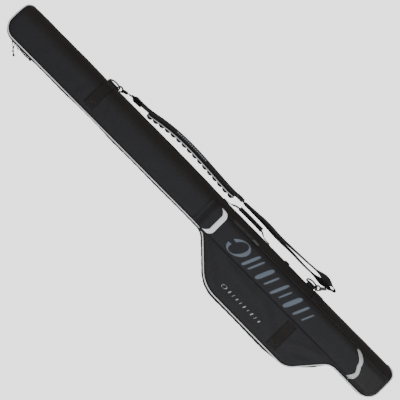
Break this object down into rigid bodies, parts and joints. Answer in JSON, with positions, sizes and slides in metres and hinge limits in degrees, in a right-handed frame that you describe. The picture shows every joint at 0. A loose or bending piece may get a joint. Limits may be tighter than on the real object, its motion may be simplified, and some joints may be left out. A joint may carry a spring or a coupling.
{
  "type": "fishing rod case",
  "caption": "Long padded soft case for fishing rods with a widened reel compartment, wrap-round zip, front pocket, carry handle and shoulder strap.",
  "frame": {"origin": "on the flat back, half way along the case and on the centre line of its rod tube", "axes": "+X along the case from the base end to the tip end, +Y from the spine to the zipped side, +Z out of the front"},
  "size_m": [1.6492, 0.298, 0.1308],
  "materials": {
    "shell_fabric": "coated woven polyester, matt",
    "base_fabric": "smooth coated fabric, satin",
    "silver_trim": "metallic silver synthetic leather",
    "silver_piping": "silver piping cord",
    "lining": "brushed knit lining",
    "webbing": "ribbed polypropylene webbing",
    "zip_tape": "woven zip tape",
    "zip_coil": "nylon coil",
    "zip_metal": "black enamelled zinc",
    "pull_rubber": "moulded rubber",
    "hook_and_loop": "hook and loop tape",
    "grip_foam": "foam under black fabric",
    "rib_rubber": "ribbed anti-slip rubber",
    "hardware": "black enamelled zinc",
    "gate_steel": "sprung steel",
    "buckle_plastic": "moulded acetal"
  },
  "bodies": {
    "case": {"back_panel": "shell_fabric", "back_gusset": "shell_fabric", "back_zip_tape": "zip_tape", "back_zip_coil": "zip_coil", "back_piping": "silver_piping", "back_lining": "lining", "base_pad": "lining", "tip_pad": "lining", "rod_strap_1": "webbing", "rod_strap_2": "webbing", "rod_strap_3": "webbing", "upper_band_back": "webbing", "lower_band_back": "webbing", "upper_ring_tab": "webbing", "lower_ring_tab": "webbing", "handle_patch_tip": "webbing", "handle_patch_base": "webbing", "spine_loop": "webbing", "zip_slider_tip": "zip_metal"},
    "lid": {"front_panel": "shell_fabric", "front_gusset": "shell_fabric", "front_zip_tape": "zip_tape", "front_zip_coil": "zip_coil", "front_piping": "silver_piping", "front_lining": "lining", "upper_band_front": "webbing", "lower_band_front": "webbing", "reel_band": "webbing", "pocket_panel": "shell_fabric", "base_patch": "base_fabric", "base_trim": "silver_trim", "pocket_loop_patch": "hook_and_loop", "side_zip_tape": "zip_tape", "side_zip_coil": "zip_coil"},
    "flap": {"flap_panel": "shell_fabric", "flap_trim": "silver_trim", "flap_hook_patch": "hook_and_loop"},
    "main_slider": {"zip_slider_base": "zip_metal"},
    "main_pull": {"zip_pull_base": "pull_rubber"},
    "tip_pull": {"zip_pull_tip": "pull_rubber"},
    "side_slider": {"pocket_slider": "zip_metal"},
    "side_pull": {"pocket_pull": "zip_metal"},
    "carry_handle": {"handle_webbing": "webbing", "handle_grip": "grip_foam"},
    "shoulder_strap": {"strap_upper": "webbing", "strap_lower": "webbing", "pad_cover": "grip_foam", "pad_binding": "silver_piping", "pad_ribs": "rib_rubber", "strap_adjuster": "buckle_plastic", "upper_hook": "hardware", "upper_swivel_loop": "hardware", "lower_hook": "hardware", "lower_swivel_loop": "hardware"},
    "upper_ring": {"upper_ring": "hardware"},
    "lower_ring": {"lower_ring": "hardware"},
    "upper_gate": {"upper_hook_gate": "gate_steel"},
    "lower_gate": {"lower_hook_gate": "gate_steel"}
  },
  "joints": [
    {"name": "lid_fold", "type": "hinge", "parent": "case", "child": "lid", "pos_m": [0, -0.062, 0.06], "axis": [1, 0, 0], "range_deg": [0, 105]},
    {"name": "flap_fold", "type": "hinge", "parent": "lid", "child": "flap", "pos_m": [-0.024, 0, 0.1131], "axis": [0, 1, 0], "range_deg": [0, 150]},
    {"name": "main_slider_slide", "type": "slide", "parent": "case", "child": "main_slider", "axis": [-1, 0, 0], "range_m": [0, 0.74]},
    {"name": "main_pull_swing", "type": "hinge", "parent": "main_slider", "child": "main_pull", "pos_m": [0.756, 0.0623, 0.06], "axis": [0, 0, 1], "range_deg": [-56, 0]},
    {"name": "tip_pull_swing", "type": "hinge", "parent": "case", "child": "tip_pull", "pos_m": [0.775, 0.0623, 0.06], "axis": [0, 0, 1], "range_deg": [-115, 20]},
    {"name": "side_slider_slide", "type": "slide", "parent": "lid", "child": "side_slider", "axis": [1, 0, 0], "range_m": [0, 0.08]},
    {"name": "side_pull_lift", "type": "hinge", "parent": "side_slider", "child": "side_pull", "pos_m": [-0.208, -0.037, 0.1172], "axis": [0, 1, 0], "range_deg": [0, 150]},
    {"name": "handle_swing", "type": "hinge", "parent": "case", "child": "carry_handle", "pos_m": [0, -0.0665, 0.045], "axis": [1, 0, 0], "range_deg": [-30, 30]},
    {"name": "strap_swing", "type": "hinge", "parent": "case", "child": "shoulder_strap", "pos_m": [0, -0.07, 0.036], "axis": [1, 0, 0], "range_deg": [-60, 0]},
    {"name": "upper_ring_swing", "type": "hinge", "parent": "case", "child": "upper_ring", "pos_m": [0, -0.07, 0.036], "axis": [1, 0, 0], "range_deg": [-60, 0]},
    {"name": "lower_ring_swing", "type": "hinge", "parent": "case", "child": "lower_ring", "pos_m": [0, -0.07, 0.036], "axis": [1, 0, 0], "range_deg": [-60, 0]},
    {"name": "upper_gate_press", "type": "hinge", "parent": "shoulder_strap", "child": "upper_gate", "pos_m": [0.42343, -0.0728, 0.02274], "axis": [0.155, -0.3879, -0.9086], "range_deg": [0, 15], "stiffness_Nm_per_rad": 0.02},
    {"name": "lower_gate_press", "type": "hinge", "parent": "shoulder_strap", "child": "lower_gate", "pos_m": [-0.4802, -0.07869, 0.02312], "axis": [0.2588, -0.2427, -0.9349], "range_deg": [0, 15], "stiffness_Nm_per_rad": 0.02}
  ],
  "couplings": [
    {"joint": "upper_ring_swing", "follows": "strap_swing", "ratio": 1},
    {"joint": "lower_ring_swing", "follows": "strap_swing", "ratio": 1}
  ]
}
